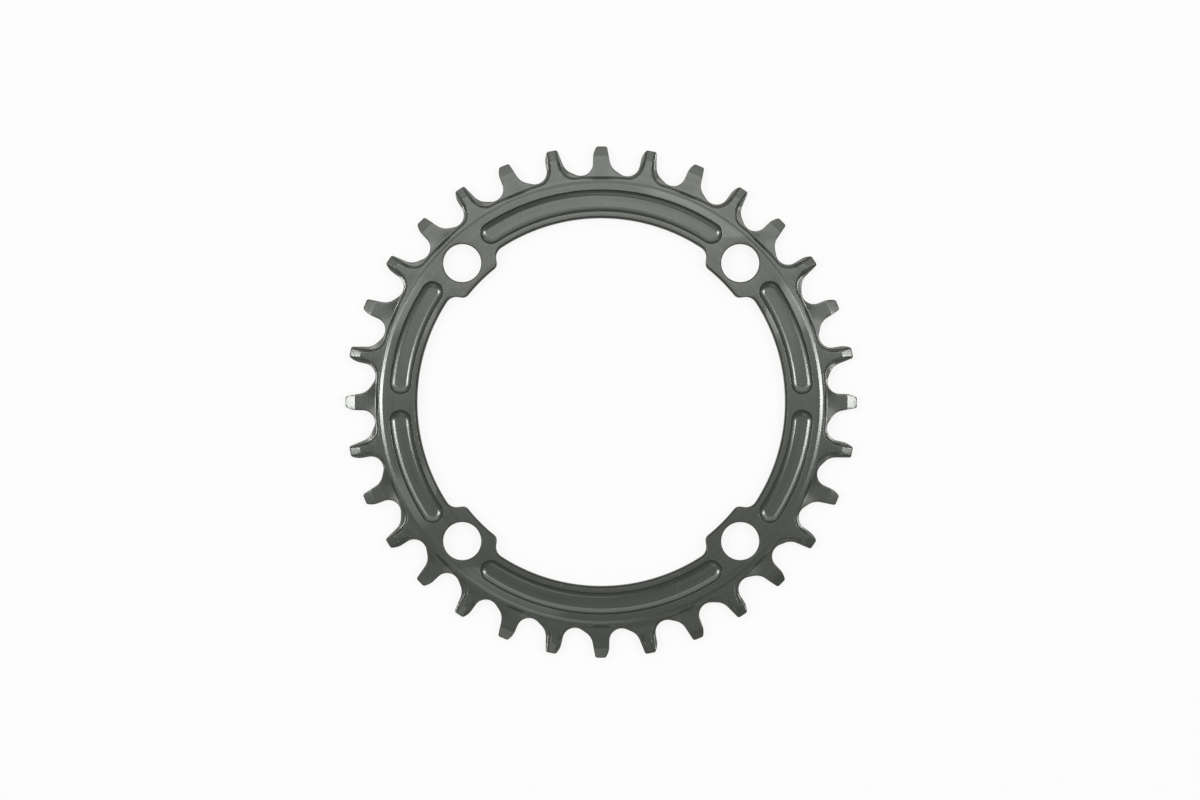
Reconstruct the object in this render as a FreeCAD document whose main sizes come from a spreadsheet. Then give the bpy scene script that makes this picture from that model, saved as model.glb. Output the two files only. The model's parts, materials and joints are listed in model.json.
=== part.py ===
import FreeCAD, Part
import math
import os

import Sketcher

Vector = FreeCAD.Vector

# A single narrow-wide bicycle chainring, machined from one aluminium plate.
# The ring lies flat: its back face is on z = 0, its front face looks along +Z and
# its axis is the Z axis. Clock angles run clockwise from +Y, seen from the front.
# A narrow tooth stands at 12 o'clock, and the teeth are narrow and wide by turns.

# Driving dimensions: lengths in millimetres, angles in degrees
SIZES = {
    # Chain and plate
    "teeth": 32,
    "chain_pitch": 12.7,
    "body_thick": 4.0,
    "wide_thick": 3.5,
    "narrow_thick": 2.0,
    # Tooth outline, placed from the pitch circle and the middle of a gap
    "tooth_rise": 2.91,
    "seat_radius": 3.25,
    "seat_drop": 1.44,
    "seat_shift": 0.77,
    "relief_radius": 4.14,
    "flank_lean": 10.8,
    "back_radius": 5.2,
    "back_lean": 1.5,
    "tip_cut": 0.31,
    # Turned bevels, placed from the tips and the pitch circle
    "bevel_angle": 15.0,
    "wide_bevel_run": 2.7,
    "narrow_bevel_run": 2.5,
    "rim_drop": 6.94,
    # Milled recess round each narrow tooth
    "recess_drop": 5.19,
    "recess_wall_angle": 40.0,
    "recess_cut": 1.9,
    "rib_foot_width": 2.86,
    "rib_lean": 5.5,
    # Bolt tabs and central opening
    "bolt_circle": 104.0,
    "bolt_count": 4,
    "bolt_hole": 10.1,
    "tab_wall": 1.81,
    "tab_side_reach": 9.06,
    "tab_side_lean": 53.0,
    "tab_corner": 1.9,
    "tab_fillet": 3.0,
    "edge_angle": 45.0,
    "tab_end_edge": 0.5,
    "tab_side_edge": 0.2,
    "window_radius": 48.65,
    "window_edge": 0.6,
    # Pockets in the front face: a long one in the windows at 12 and 6 o'clock,
    # and two short ones with a web between them at 3 and 9 o'clock
    "pocket_radius": 53.3,
    "pocket_width": 5.6,
    "pocket_depth": 1.9,
    "pocket_reach": 36.1,
    "pocket_web": 4.6,
}

# How far a cutting outline runs on through open space, past what it cuts
CLEAR = 1.0
AXIS = Vector(0, 0, 0)

doc = FreeCAD.newDocument("Chainring")


def make_sheet():
    """Write the driving dimensions to a sheet, one named cell to a row."""
    sheet = doc.addObject("Spreadsheet::Sheet", "dims")
    sheet.Label = "dims"
    for row, (name, value) in enumerate(SIZES.items(), start=1):
        sheet.set("A%d" % row, name)
        sheet.set("B%d" % row, str(value))
        sheet.setAlias("B%d" % row, name)
    doc.recompute()
    return sheet


dims = make_sheet()


def dim(name):
    """A driving dimension, as the sheet holds it."""
    return float(dims.get(name))


# Sizes that follow from the driving dimensions, and how a bound size says the same
tooth_angle = 360.0 / dim("teeth")
pitch_radius = dim("chain_pitch") / 2 / math.sin(math.radians(tooth_angle / 2))
tip_radius = pitch_radius + dim("tooth_rise")
rim_radius = pitch_radius - dim("rim_drop")
bolt_radius = dim("bolt_circle") / 2
tab_end_radius = bolt_radius - dim("bolt_hole") / 2 - dim("tab_wall")
bevel_slope = math.tan(math.radians(dim("bevel_angle")))

PITCH_RADIUS = "dims.chain_pitch / 2 / sin(180deg / dims.teeth)"
TIP_RADIUS = PITCH_RADIUS + " + dims.tooth_rise"
RIM_RADIUS = PITCH_RADIUS + " - dims.rim_drop"
TAB_END_RADIUS = "(dims.bolt_circle - dims.bolt_hole) / 2 - dims.tab_wall"
BEVEL_SLOPE = "tan(dims.bevel_angle * 1deg)"


def heading(clock):
    """The unit vector that points along a clock angle."""
    turn = math.radians(clock)
    return Vector(math.sin(turn), math.cos(turn), 0)


def polar(radius, clock):
    """The point at a radius and a clock angle."""
    return heading(clock) * radius


def spun(point, clock):
    """The point turned clockwise about the axis."""
    return heading(clock + 90) * point.x + heading(clock) * point.y


def flipped(point):
    """The point mirrored from the right side of 12 o'clock to the left."""
    return Vector(-point.x, point.y, 0)


def leave_circle(point, along, radius):
    """Where a line leaves a circle about the axis, or about to where it would."""
    half = point.dot(along)
    return point + along * (math.sqrt(half * half + radius * radius - point.dot(point)) - half)


def meet_circles(radius, centre, reach):
    """Where a circle about the axis meets another circle, on the anticlockwise side."""
    span = centre.Length
    along = (radius * radius - reach * reach + span * span) / (2 * span)
    across = math.sqrt(radius * radius - along * along)
    out = centre / span
    return out * along + Vector(-out.y, out.x, 0) * across


def turned(point, centre, way):
    """The point moved clockwise round a centre by a length of arc."""
    arm = point - centre
    return centre + spun(arm, math.degrees(way / arm.Length))


def foot(centre, point, along):
    """Where the line through a point comes nearest to a centre."""
    return point + along * (centre - point).dot(along)


class Outline:
    """A closed outline, drawn edge by edge in a sketch.

    Each edge is tied to the one before it, and a smooth edge is tangent to it.
    """

    def __init__(self, sketch, start):
        self.sketch = sketch
        self.here = start
        self.first = None
        self.last = None

    def tie(self, edge, near_end, far_end, smooth):
        """Tie a new edge to the one before it."""
        if self.last is None:
            self.first = (edge, near_end)
        else:
            kind = "Tangent" if smooth else "Coincident"
            self.sketch.addConstraint(Sketcher.Constraint(kind, *self.last, edge, near_end))
        self.last = (edge, far_end)

    def line(self, end, smooth=False):
        """A straight edge."""
        edge = self.sketch.addGeometry(Part.LineSegment(self.here, end), False)
        self.tie(edge, 1, 2, smooth)
        self.here = end

    def arc(self, centre, end, clockwise, size=None, smooth=False):
        """A round edge, its radius bound to a size unless its neighbours set it."""
        begin, stop = (end, self.here) if clockwise else (self.here, end)
        circle = Part.Circle(centre, Vector(0, 0, 1), (begin - centre).Length)
        first = math.atan2(begin.y - centre.y, begin.x - centre.x)
        last = math.atan2(stop.y - centre.y, stop.x - centre.x)
        edge = self.sketch.addGeometry(Part.ArcOfCircle(circle, first, last), False)
        near_end, far_end = (2, 1) if clockwise else (1, 2)
        self.tie(edge, near_end, far_end, smooth)
        if size is not None:
            bind(self.sketch, Sketcher.Constraint("Radius", edge, circle.Radius), size)
        if centre == AXIS:
            self.sketch.addConstraint(Sketcher.Constraint("Coincident", edge, 3, -1, 1))
        self.here = end

    def close(self):
        """Tie the last edge to the first."""
        self.sketch.addConstraint(Sketcher.Constraint("Coincident", *self.last, *self.first))


def bind(sketch, constraint, size):
    """Add a constraint whose value is bound to a size."""
    index = sketch.addConstraint(constraint)
    sketch.setExpression("Constraints[%d]" % index, size)


body = doc.addObject("PartDesign::Body", "chainring")
body.Label = "chainring"
body.setExpression("Placement.Base.z", "dims.body_thick / 2")
ORIGIN = {feature.Role: feature for feature in body.Origin.OriginFeatures}


def new_sketch(name, plane="XY_Plane", height="0"):
    """A sketch on one of the body's own planes, raised by a bound height."""
    sketch = body.newObject("Sketcher::SketchObject", name)
    sketch.AttachmentSupport = [(ORIGIN[plane], "")]
    sketch.MapMode = "FlatFace"
    sketch.setExpression("AttachmentOffset.Base.z", height)
    doc.recompute()
    return sketch


def finish(feature):
    """Make a feature the tip of the body and see that it removed something."""
    before = body.Shape.Volume
    body.Tip = feature
    doc.recompute()
    if body.Shape.Volume >= before:
        raise RuntimeError("%s removes nothing" % feature.Name)
    return feature


def cut_through(name, sketch):
    """A pocket with the outline of a sketch, through the whole plate."""
    pocket = body.newObject("PartDesign::Pocket", name)
    pocket.Profile = sketch
    pocket.SideType = "Symmetric"
    pocket.setExpression("Length", "dims.body_thick * 2")
    return finish(pocket)


def cut(name, sketch, length, upward=False, taper="0"):
    """A pocket with the outline of a sketch and a given depth, upward or downward.

    A taper in degrees slopes its walls. A positive one widens it as it goes.
    """
    pocket = body.newObject("PartDesign::Pocket", name)
    pocket.Profile = sketch
    pocket.Reversed = upward
    pocket.setExpression("Length", length)
    pocket.setExpression("TaperAngle", taper + " * 1deg")
    return finish(pocket)


def around(name, features, count):
    """Features repeated about the ring's axis."""
    pattern = body.newObject("PartDesign::PolarPattern", name)
    pattern.Originals = features
    pattern.Axis = (ORIGIN["Z_Axis"], [""])
    pattern.Angle = 360
    pattern.setExpression("Occurrences", count)
    return finish(pattern)


# Turned blank


def mirrored(corners):
    """The corners of half a section above the mid-plane, carried on below it."""
    below = [(radius, radius_size, -height, height_size) for radius, radius_size, height, height_size
             in reversed(corners)]
    return corners + below


def turned_blank():
    """The turned blank, alike on both sides of the mid-plane.

    The flat face runs out to the rim bevel, and a tip bevel ends the flat tooth band.
    """
    top = dim("body_thick") / 2
    band = dim("wide_thick") / 2
    rim_bevel_end = rim_radius + (top - band) / bevel_slope
    corners = mirrored([
        (0, None, top, "dims.body_thick / 2"),
        (rim_radius, RIM_RADIUS, top, "dims.body_thick / 2"),
        (rim_bevel_end, RIM_RADIUS + " + (dims.body_thick - dims.wide_thick) / 2 / " + BEVEL_SLOPE,
         band, "dims.wide_thick / 2"),
        (tip_radius - dim("wide_bevel_run"), TIP_RADIUS + " - dims.wide_bevel_run",
         band, "dims.wide_thick / 2"),
        (tip_radius, TIP_RADIUS, band - dim("wide_bevel_run") * bevel_slope,
         "dims.wide_thick / 2 - dims.wide_bevel_run * " + BEVEL_SLOPE),
    ])
    sketch = new_sketch("TurnedSection", "XZ_Plane")
    outline = Outline(sketch, Vector(corners[0][0], corners[0][2], 0))
    for radius, _, height, _ in corners[1:] + corners[:1]:
        outline.line(Vector(radius, height, 0))
    outline.close()
    for edge, (radius, radius_size, height, height_size) in enumerate(corners):
        # A height is measured upwards on either side, so that its bound size is positive
        low_to_high = (-1, 1, edge, 1) if height > 0 else (edge, 1, -1, 1)
        bind(sketch, Sketcher.Constraint("DistanceY", *low_to_high, abs(height)), height_size)
        if radius_size is None:
            sketch.addConstraint(Sketcher.Constraint("PointOnObject", edge, 1, -2))
        else:
            bind(sketch, Sketcher.Constraint("DistanceX", -1, 1, edge, 1, radius), radius_size)
    blank = body.newObject("PartDesign::Revolution", "TurnedBlank")
    blank.Profile = sketch
    blank.ReferenceAxis = (sketch, ["V_Axis"])
    blank.Angle = 360
    doc.recompute()
    return blank


# Teeth


def tooth_gaps():
    """The gaps between the teeth.

    A gap goes down the flank of one tooth, round the roller relief, which is centred on
    the pitch circle, down a short ramp into the roller seat, which sits a little late in
    the gap, and up the back of the next tooth, which is rounded from the pitch circle on.
    Each tooth's two tip corners are cut off.
    """
    middle = tooth_angle / 2
    cut_off = dim("tip_cut")
    relief = polar(pitch_radius, middle)
    seat = polar(pitch_radius - dim("seat_drop"), middle) + heading(middle + 90) * dim("seat_shift")

    # Flank, tangent to the relief
    up_flank = heading(-dim("flank_lean"))
    flank_low = relief - heading(90 - dim("flank_lean")) * dim("relief_radius")
    flank_tip = leave_circle(flank_low, up_flank, tip_radius)
    flank_land = turned(flank_tip, AXIS, -cut_off)

    # Ramp, tangent to the relief and the seat
    apart = seat - relief
    opening = math.acos((dim("relief_radius") - dim("seat_radius")) / apart.Length)
    off_ramp = heading(math.degrees(math.atan2(apart.x, apart.y) + opening))
    ramp_high = relief + off_ramp * dim("relief_radius")
    ramp_low = seat + off_ramp * dim("seat_radius")

    # Back of the next tooth, tangent to the seat
    up_back = heading(tooth_angle + dim("back_lean"))
    off_back = heading(tooth_angle + dim("back_lean") + 90)
    back_low = seat + off_back * dim("seat_radius")
    back_high = leave_circle(back_low, up_back, pitch_radius)
    back = back_high + off_back * dim("back_radius")
    back_tip = meet_circles(tip_radius, back, dim("back_radius"))
    back_land = turned(back_tip, AXIS, cut_off)

    sketch = new_sketch("ToothGap")
    outline = Outline(sketch, flank_land)
    outline.line(flank_tip - up_flank * cut_off)
    outline.line(flank_low)
    outline.arc(relief, ramp_high, False, "dims.relief_radius", smooth=True)
    outline.line(ramp_low, smooth=True)
    outline.arc(seat, back_low, False, "dims.seat_radius", smooth=True)
    outline.line(back_high, smooth=True)
    outline.arc(back, turned(back_tip, back, -cut_off), True, "dims.back_radius", smooth=True)
    outline.line(back_land)
    outline.line(polar(tip_radius + CLEAR, tooth_angle))
    outline.line(polar(tip_radius + CLEAR, 0))
    outline.line(flank_land)
    outline.close()
    return around("ToothGaps", [cut_through("ToothGapCut", sketch)], "dims.teeth")


def narrow_recesses():
    """The recess round each narrow tooth, from the rib of one wide tooth to the next.

    Its walls slope, so a wide tooth keeps a raised rib between two low shoulders, and
    its corners are cut off, so the rib spreads towards its foot.
    """
    cut_off = dim("recess_cut")
    base = pitch_radius - dim("recess_drop")
    up_rib = heading(-dim("rib_lean"))
    rib = Vector(dim("rib_foot_width") / 2, pitch_radius, 0)
    wall_high = leave_circle(rib, up_rib, tip_radius + CLEAR)
    corner = leave_circle(rib, up_rib, base)
    wall_low = corner + up_rib * cut_off
    base_end = turned(corner, AXIS, cut_off)

    # The wide tooth before the narrow one at 12 o'clock, and its mirror image after it
    before = [spun(point, -tooth_angle) for point in (wall_high, wall_low, base_end)]
    after = [flipped(point) for point in before]
    cuts = []
    for side, sign in (("Front", ""), ("Back", "-")):
        sketch = new_sketch(side + "Recess", height=sign + "dims.narrow_thick / 2")
        draw_recess(sketch, before, after)
        cuts.append(cut(side + "RecessCut", sketch, "(dims.body_thick - dims.narrow_thick) / 2",
                        upward=side == "Front", taper="dims.recess_wall_angle"))
    return around("NarrowRecesses", cuts, "dims.teeth / 2")


def draw_recess(sketch, before, after):
    """Draw the outline of a recess's floor from the points on its two sides."""
    outline = Outline(sketch, before[0])
    outline.line(before[1])
    outline.line(before[2])
    outline.arc(AXIS, after[2], True, PITCH_RADIUS + " - dims.recess_drop")
    outline.line(after[1])
    outline.line(after[0])
    outline.line(before[0])
    outline.close()


def narrow_tip_bevels():
    """The two bevels at the tip of each narrow tooth."""
    start = tip_radius - dim("narrow_bevel_run")
    stop = tip_radius + CLEAR
    face = dim("narrow_thick") / 2
    above = dim("body_thick") / 2
    sketch = new_sketch("NarrowTipBevel", "YZ_Plane")
    for side in (1, -1):
        corners = [
            Vector(start, side * face, 0),
            Vector(stop, side * (face - (stop - start) * bevel_slope), 0),
            Vector(stop, side * above, 0),
            Vector(start, side * above, 0),
        ]
        corner = sketch.GeometryCount
        outline = Outline(sketch, corners[0])
        for point in corners[1:] + corners[:1]:
            outline.line(point)
        outline.close()
        low_to_high = (-1, 1, corner, 1) if side > 0 else (corner, 1, -1, 1)
        bind(sketch, Sketcher.Constraint("DistanceY", *low_to_high, face), "dims.narrow_thick / 2")
        bind(sketch, Sketcher.Constraint("DistanceX", -1, 1, corner, 1, start),
             TIP_RADIUS + " - dims.narrow_bevel_run")
    groove = body.newObject("PartDesign::Groove", "NarrowTipBevelCut")
    groove.Profile = sketch
    groove.ReferenceAxis = (sketch, ["V_Axis"])
    groove.Midplane = True
    groove.setExpression("Angle", "360deg / dims.teeth")
    return around("NarrowTipBevels", [finish(groove)], "dims.teeth / 2")


# Central opening, bolt tabs and bolt holes


def draw_opening(sketch, edges):
    """Draw the central opening with its bolt tabs.

    A tab ends on a circle about the axis and runs out through a corner, a straight side
    and a fillet to the window's own circle. The edges are the sizes by which the tab's
    end, its sides and the window are drawn set back, or none.
    """
    end_edge, side_edge, window_edge = (dim(edge) if edge else 0.0 for edge in edges)
    end_size, side_size, window_size = ("dims." + edge if edge else "0" for edge in edges)
    end_radius = tab_end_radius + end_edge
    window_radius = dim("window_radius") + window_edge
    corner = dim("tab_corner") - side_edge
    fillet = dim("tab_fillet") + side_edge
    end_size = TAB_END_RADIUS + " + " + end_size
    window_size = "dims.window_radius + " + window_size
    corner_size = "dims.tab_corner - " + side_size
    fillet_size = "dims.tab_fillet + " + side_size
    along = heading(90 - dim("tab_side_lean"))
    off = heading(180 - dim("tab_side_lean"))
    side = Vector(0, bolt_radius, 0) + off * (dim("tab_side_reach") - side_edge)
    corner_at = leave_circle(side - off * corner, along, end_radius + corner)
    fillet_at = leave_circle(side + off * fillet, along, window_radius - fillet)
    right = [
        corner_at * (end_radius / (end_radius + corner)),
        corner_at,
        foot(corner_at, side, along),
        foot(fillet_at, side, along),
        fillet_at,
        fillet_at * (window_radius / (window_radius - fillet)),
    ]
    left = [flipped(point) for point in right]
    step = 360.0 / dim("bolt_count")
    first_tab = step / 2
    outline = Outline(sketch, spun(left[0], first_tab))
    for tab in range(int(dim("bolt_count"))):
        here = [spun(point, first_tab + tab * step) for point in right]
        after = [spun(point, first_tab + (tab + 1) * step) for point in left]
        outline.arc(AXIS, here[0], True, end_size, smooth=tab > 0)
        outline.arc(here[1], here[2], False, corner_size, smooth=True)
        outline.line(here[3], smooth=True)
        outline.arc(here[4], here[5], True, fillet_size, smooth=True)
        outline.arc(AXIS, after[5], True, window_size, smooth=True)
        outline.arc(after[4], after[3], True, fillet_size, smooth=True)
        outline.line(after[2], smooth=True)
        outline.arc(after[1], after[0], False, corner_size, smooth=True)
    outline.close()


def central_opening():
    """The opening and the bevel round its front edge.

    The bevel is wide along the windows, less wide on the ends of the tabs and thin on
    their sides, where it is a shallow cut.
    """
    opening = new_sketch("Opening")
    draw_opening(opening, (None, None, None))
    cut_through("OpeningCut", opening)
    edge = new_sketch("OpeningEdge", height="dims.body_thick / 2")
    draw_opening(edge, ("tab_end_edge", "tab_side_edge", "window_edge"))
    return cut("OpeningEdgeCut", edge, "dims.window_edge", taper="-dims.edge_angle")


def bolt_holes():
    """The bolt holes."""
    first_tab = 180.0 / dim("bolt_count")
    centre = polar(bolt_radius, first_tab)
    sketch = new_sketch("BoltHole")
    edge = sketch.addGeometry(Part.Circle(centre, Vector(0, 0, 1), dim("bolt_hole") / 2), False)
    bind(sketch, Sketcher.Constraint("Radius", edge, dim("bolt_hole") / 2), "dims.bolt_hole / 2")
    bind(sketch, Sketcher.Constraint("DistanceX", -1, 1, edge, 3, centre.x),
         "dims.bolt_circle / 2 * sin(180deg / dims.bolt_count)")
    bind(sketch, Sketcher.Constraint("DistanceY", -1, 1, edge, 3, centre.y),
         "dims.bolt_circle / 2 * cos(180deg / dims.bolt_count)")
    return around("BoltHoles", [cut_through("BoltHoleCut", sketch)], "dims.bolt_count")


# Pockets in the front face


def draw_pocket(sketch, begin, end):
    """Draw a round-ended pocket from one clock angle to another."""
    half = dim("pocket_width") / 2
    inner = dim("pocket_radius") - half
    outer = dim("pocket_radius") + half
    round_end = math.degrees(math.asin(half / dim("pocket_radius")))
    first = begin + round_end
    last = end - round_end
    outline = Outline(sketch, polar(outer, first))
    outline.arc(AXIS, polar(outer, last), True, "dims.pocket_radius + dims.pocket_width / 2")
    outline.arc(polar(dim("pocket_radius"), last), polar(inner, last), True, smooth=True)
    outline.arc(AXIS, polar(inner, first), False,
                "dims.pocket_radius - dims.pocket_width / 2", smooth=True)
    outline.arc(polar(dim("pocket_radius"), first), polar(outer, first), True, smooth=True)
    outline.close()


def front_pockets():
    """The pockets in the front face, one long or two short to a window."""
    reach = dim("pocket_reach")
    web = dim("pocket_web") / 2
    long_pocket = new_sketch("LongPocket", height="dims.body_thick / 2")
    draw_pocket(long_pocket, -reach, reach)
    around("LongPockets", [cut("LongPocketCut", long_pocket, "dims.pocket_depth")], "2")
    short_pockets = new_sketch("ShortPockets", height="dims.body_thick / 2")
    draw_pocket(short_pockets, 90 - reach, 90 - web)
    draw_pocket(short_pockets, 90 + web, 90 + reach)
    pair = cut("ShortPocketCut", short_pockets, "dims.pocket_depth")
    return around("ShortPocketPairs", [pair], "2")


def check_and_write():
    """See that every object is sound, then write the ring."""
    doc.recompute()
    for item in doc.Objects:
        if "Invalid" in item.State or "Error" in item.State:
            raise RuntimeError("%s is not sound: %s" % (item.Name, item.State))
    shape = body.Shape
    if shape.isNull() or not shape.isValid() or len(shape.Solids) != 1:
        raise RuntimeError("the ring is not one valid solid")
    os.makedirs("parts", exist_ok=True)
    shape.exportStep("parts/%s.step" % body.Label)
    print("volume %.1f mm3, %d faces" % (shape.Volume, len(shape.Faces)))


turned_blank()
tooth_gaps()
narrow_recesses()
narrow_tip_bevels()
central_opening()
bolt_holes()
front_pockets()
check_and_write()
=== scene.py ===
"""A bicycle chainring in hard anodised aluminium, on a white table and seen from above.

The ring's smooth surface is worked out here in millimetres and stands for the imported
node. It has the same outlines, and it adds the round corners, the dished pocket floors,
the rise of the recess floors and the small broken edges. Clock angles run clockwise
from +Y.
"""

import json
import logging
import math
from dataclasses import dataclass, field
from functools import reduce

import bmesh
import bpy
import numpy as np
from bpy.types import (ID, Material, Mesh, Node, NodeSocket, NodeTree, Object, World,
                       bpy_prop_collection)
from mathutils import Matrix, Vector
from mathutils.geometry import delaunay_2d_cdt

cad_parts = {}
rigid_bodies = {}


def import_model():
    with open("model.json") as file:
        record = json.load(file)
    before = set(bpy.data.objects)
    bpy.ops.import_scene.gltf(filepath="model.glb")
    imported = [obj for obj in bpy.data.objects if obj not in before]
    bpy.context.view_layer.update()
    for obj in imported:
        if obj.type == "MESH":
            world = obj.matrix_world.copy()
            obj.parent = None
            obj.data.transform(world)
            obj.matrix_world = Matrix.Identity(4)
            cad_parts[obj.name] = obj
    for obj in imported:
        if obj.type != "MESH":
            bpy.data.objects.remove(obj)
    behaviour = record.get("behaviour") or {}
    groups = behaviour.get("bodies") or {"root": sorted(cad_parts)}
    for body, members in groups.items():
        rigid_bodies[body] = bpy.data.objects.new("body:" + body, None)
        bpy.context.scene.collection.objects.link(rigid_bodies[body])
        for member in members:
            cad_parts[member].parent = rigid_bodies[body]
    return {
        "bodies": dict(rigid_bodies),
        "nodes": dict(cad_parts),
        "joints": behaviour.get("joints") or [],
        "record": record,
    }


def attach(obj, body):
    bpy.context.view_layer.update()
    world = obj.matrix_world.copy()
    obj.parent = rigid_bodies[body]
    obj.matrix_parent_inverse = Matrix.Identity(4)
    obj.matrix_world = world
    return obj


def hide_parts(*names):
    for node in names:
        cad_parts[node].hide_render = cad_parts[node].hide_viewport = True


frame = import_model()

logging.basicConfig(level=logging.INFO, format="%(name)s: %(message)s")
log = logging.getLogger("chainring")

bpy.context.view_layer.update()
MM = 0.001
WELD = 0.0002  # millimetres between points that become one
NO_LENGTH = 1e-9  # metres, the length up to which an edge is dissolved
PLAN_TOLERANCE = 1e-7  # millimetres between lines that meet in a plan
INSIDE = 1  # the kind of triangulation that keeps what the lines enclose
ON_LINE = 1e-5  # millimetres from a line within which a point is on it
ARC_TURN = 0.17  # radians between two samples of an arc, at most
ORIGIN = (0.0, 0.0, 0.0)
WHITE = (1.0, 1.0, 1.0, 1.0)
Array = np.ndarray
Pair = tuple[float, float]
Colour = tuple[float, float, float]
AXIS = np.zeros(2)


# Plan geometry


def heading(clock: float | Array) -> Array:
    """The unit vector at a clock angle in degrees, or one to a row: sine and cosine."""
    turn = np.radians(clock)
    return np.stack([np.sin(turn), np.cos(turn)], axis=-1)


def spun(points: Array, clock: float) -> Array:
    """Plan points turned clockwise by degrees: x and y go along the turned axes."""
    return points[..., :1] * heading(clock + 90) + points[..., 1:2] * heading(clock)


def flipped(points: Array) -> Array:
    """Plan points mirrored from one side of 12 o'clock to the other."""
    return points * (-1, 1)


def leave_circle(point: Array, along: Array, radius: float) -> Array:
    """Where the ray from a point leaves a circle about the axis, at the larger root."""
    half = point @ along
    return point + along * (math.sqrt(half * half + radius * radius - point @ point) - half)


def meet_circles(radius: float, centre: Array, reach: float) -> Array:
    """Where a circle about the axis meets another circle, on the anticlockwise side.

    Args:
        radius: Radius of the circle about the axis.
        centre: Centre of the other circle.
        reach: Radius of the other circle.

    Returns:
        The meeting point, from the triangle of the two centres and that point.
    """
    span = np.linalg.norm(centre)
    along = (radius * radius - reach * reach + span * span) / (2 * span)
    across = math.sqrt(radius * radius - along * along)
    out = centre / span
    return out * along + np.array([-out[1], out[0]]) * across


def polar(points: Array) -> tuple[Array, Array]:
    """The clock angles in degrees and the radii of plan points, one to a row."""
    return np.degrees(np.arctan2(points[:, 0], points[:, 1])), np.linalg.norm(points, axis=1)


def turn_of(first: Array, second: Array) -> Array:
    """The cross product of plan vectors, positive where the second lies to the left."""
    return first[..., 0] * second[..., 1] - first[..., 1] * second[..., 0]


def smooth(value: Array, start: float, end: float) -> Array:
    """A smooth step from 0 at one value to 1 at another, 3 t squared less 2 t cubed."""
    share = np.clip((value - start) / (end - start), 0, 1)
    return share * share * (3 - 2 * share)


def fall(radius: float, across: Array) -> Array:
    """How far a circle has fallen from its top at a distance across."""
    return radius - np.sqrt(radius ** 2 - across ** 2)


def foot(centre: Array, point: Array, along: Array) -> Array:
    """Where the line through a point comes nearest to a centre."""
    return point + along * ((centre - point) @ along)


@dataclass(frozen=True)
class Outline:
    """A sampled plan curve, with its normals and values."""

    points: Array
    normals: Array
    values: Array

    def offset(self, by: float | Array) -> Array:
        """The points moved out along their normals by one distance or one for each."""
        return self.points + self.normals * np.reshape(by, (-1, 1))


@dataclass(frozen=True)
class Corner:
    """Where an edge of a plan curve starts: a straight edge, or one round a centre."""

    point: Array
    centre: Array | None = None
    clockwise: bool = True
    value: float = 0.0


def traced(corners: list[Corner], step: float) -> Outline:
    """A plan curve drawn clockwise in lines and arcs, and sampled.

    A line's samples are its start plus a growing share of its span, and an arc's are its
    centre plus the radius at a turning angle.

    Args:
        corners: Where the edges start, and last where the curve ends.
        step: The greatest distance between samples.

    Returns:
        The samples. Their normals lie to the left of the travel, and so point away from
        what the curve goes round, and the values ease from corner to corner.
    """
    edges = []
    for first, last in zip(corners, corners[1:]):
        if first.centre is None:
            span = last.point - first.point
            length = np.linalg.norm(span)
            count = max(1, math.ceil(length / step))
            share = np.arange(count) / count
            points = first.point + span * share[:, None]
            normals = np.tile(np.array([-span[1], span[0]]) / length, (count, 1))
        else:
            radius = np.linalg.norm(first.point - first.centre)
            begin, end = (math.atan2(*(corner.point - first.centre)[::-1])
                          for corner in (first, last))
            way = -1 if first.clockwise else 1
            sweep = (end - begin) * way % math.tau
            count = math.ceil(sweep * max(radius / step, 1 / ARC_TURN))
            share = np.arange(count) / count
            angle = begin + way * sweep * share
            out = np.stack([np.cos(angle), np.sin(angle)], axis=1)
            points = first.centre + radius * out
            normals = -way * out
        eased = first.value + (last.value - first.value) * smooth(share, 0, 1)
        edges.append((points, normals, eased))
    return Outline(*(np.concatenate(part) for part in zip(*edges)))


@dataclass
class Gathered:
    """Points and what joins them, edges or faces, gathered part by part."""

    points: list[Array] = field(default_factory=list)
    joins: list[Array] = field(default_factory=list)
    count: int = 0

    def gather(self, points: Array, joins: Array) -> None:
        """Add points, and what joins them by their numbers among them.

        Args:
            points: One point to a row.
            joins: The numbers, one edge or face to a row.
        """
        self.points.append(points)
        self.joins.append(joins + self.count)
        self.count += len(points)


class Plan(Gathered):
    """Lines in the plan, triangulated together so that each line is kept as edges."""

    def add(self, points: Array, closed: bool = False) -> None:
        """Add a line through points.

        Args:
            points: One point to a row.
            closed: Whether the last point joins the first.
        """
        if len(points) > 1:
            number = np.arange(len(points))
            edges = np.stack([number, np.roll(number, -1)], axis=1)
            self.gather(points, edges if closed else edges[:-1])

    def triangles(self, with_holes: bool) -> tuple[Array, Array]:
        """Triangulate what the lines enclose.

        Args:
            with_holes: Whether an outline within another is left open.

        Returns:
            The plan points and the triangles' corner numbers.
        """
        drawn, edges = np.vstack(self.points), np.vstack(self.joins)
        made = delaunay_2d_cdt([Vector(point) for point in drawn.tolist()],
                               edges.tolist(), [], INSIDE, PLAN_TOLERANCE)
        points, faces = np.array([point[:] for point in made[0]]), np.array(made[2])
        if with_holes:
            middles = points[faces].mean(axis=1)
            faces = faces[enclosed(middles, drawn[edges[:, 0]], drawn[edges[:, 1]])]
        return points, faces


def enclosed(points: Array, starts: Array, ends: Array) -> Array:
    """Which plan points lie within closed outlines and outside the outlines in them.

    Args:
        points: One point to a row.
        starts: Where the outlines' edges start.
        ends: Where they end.

    Returns:
        True where a ray along +X crosses an odd number of edges.
    """
    height = points[:, 1:2]
    spans = (starts[:, 1] > height) != (ends[:, 1] > height)
    rise = np.where(ends[:, 1] == starts[:, 1], 1.0, ends[:, 1] - starts[:, 1])
    at = starts[:, 0] + (height - starts[:, 1]) / rise * (ends[:, 0] - starts[:, 0])
    return (spans & (at > points[:, :1])).sum(axis=1) % 2 == 1


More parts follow.
